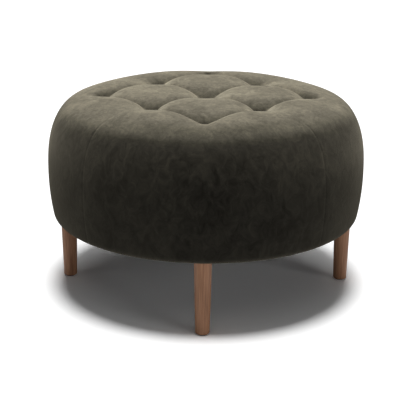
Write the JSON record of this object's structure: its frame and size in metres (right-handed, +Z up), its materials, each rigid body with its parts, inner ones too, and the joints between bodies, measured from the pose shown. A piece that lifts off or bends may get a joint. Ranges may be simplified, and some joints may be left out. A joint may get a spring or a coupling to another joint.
{
  "type": "tuffet",
  "caption": "Round tufted velvet footstool on tapered wooden legs, for resting the feet or as a low seat.",
  "frame": {"origin": "on the floor, under the middle of the stool", "axes": "+Z up along the axis of the round body; -Y towards the front leg, +X towards the right leg"},
  "size_m": [0.66, 0.66, 0.4198],
  "materials": {
    "velvet": "brushed cotton velvet, warm dark olive grey",
    "walnut": "walnut brown, straight grain, satin lacquer",
    "plywood": "raw birch plywood",
    "softwood": "planed pine, raw",
    "hardboard": "thin bent hardboard, raw",
    "foam": "open-cell upholstery foam",
    "batting": "loose polyester batting",
    "cambric": "black non-woven dust cloth",
    "steel": "zinc-plated steel",
    "nylon": "dark brown moulded nylon",
    "twine": "waxed upholstery twine"
  },
  "bodies": {
    "root": {"velvet_cover": "velvet", "seat_batting": "batting", "seat_foam": "foam", "side_foam": "foam", "side_band": "hardboard", "top_board": "plywood", "base_board": "plywood", "dust_cover": "cambric", "post_1": "softwood", "post_2": "softwood", "post_3": "softwood", "post_4": "softwood", "post_5": "softwood", "post_6": "softwood", "post_7": "softwood", "post_8": "softwood", "leg_right": "walnut", "leg_back": "walnut", "leg_left": "walnut", "leg_front": "walnut", "glide_right": "nylon", "glide_back": "nylon", "glide_left": "nylon", "glide_front": "nylon", "hanger_bolt_right": "steel", "hanger_bolt_back": "steel", "hanger_bolt_left": "steel", "hanger_bolt_front": "steel", "tee_nut_right": "steel", "tee_nut_back": "steel", "tee_nut_left": "steel", "tee_nut_front": "steel", "button_centre": "velvet", "button_front_left": "velvet", "button_back_left": "velvet", "button_back_right": "velvet", "button_front_right": "velvet", "button_left": "velvet", "button_back": "velvet", "button_right": "velvet", "button_front": "velvet", "twine_centre": "twine", "twine_front_left": "twine", "twine_back_left": "twine", "twine_back_right": "twine", "twine_front_right": "twine", "twine_left": "twine", "twine_back": "twine", "twine_right": "twine", "twine_front": "twine", "washer_centre": "steel", "washer_front_left": "steel", "washer_back_left": "steel", "washer_back_right": "steel", "washer_front_right": "steel", "washer_left": "steel", "washer_back": "steel", "washer_right": "steel", "washer_front": "steel"}
  },
  "joints": []
}
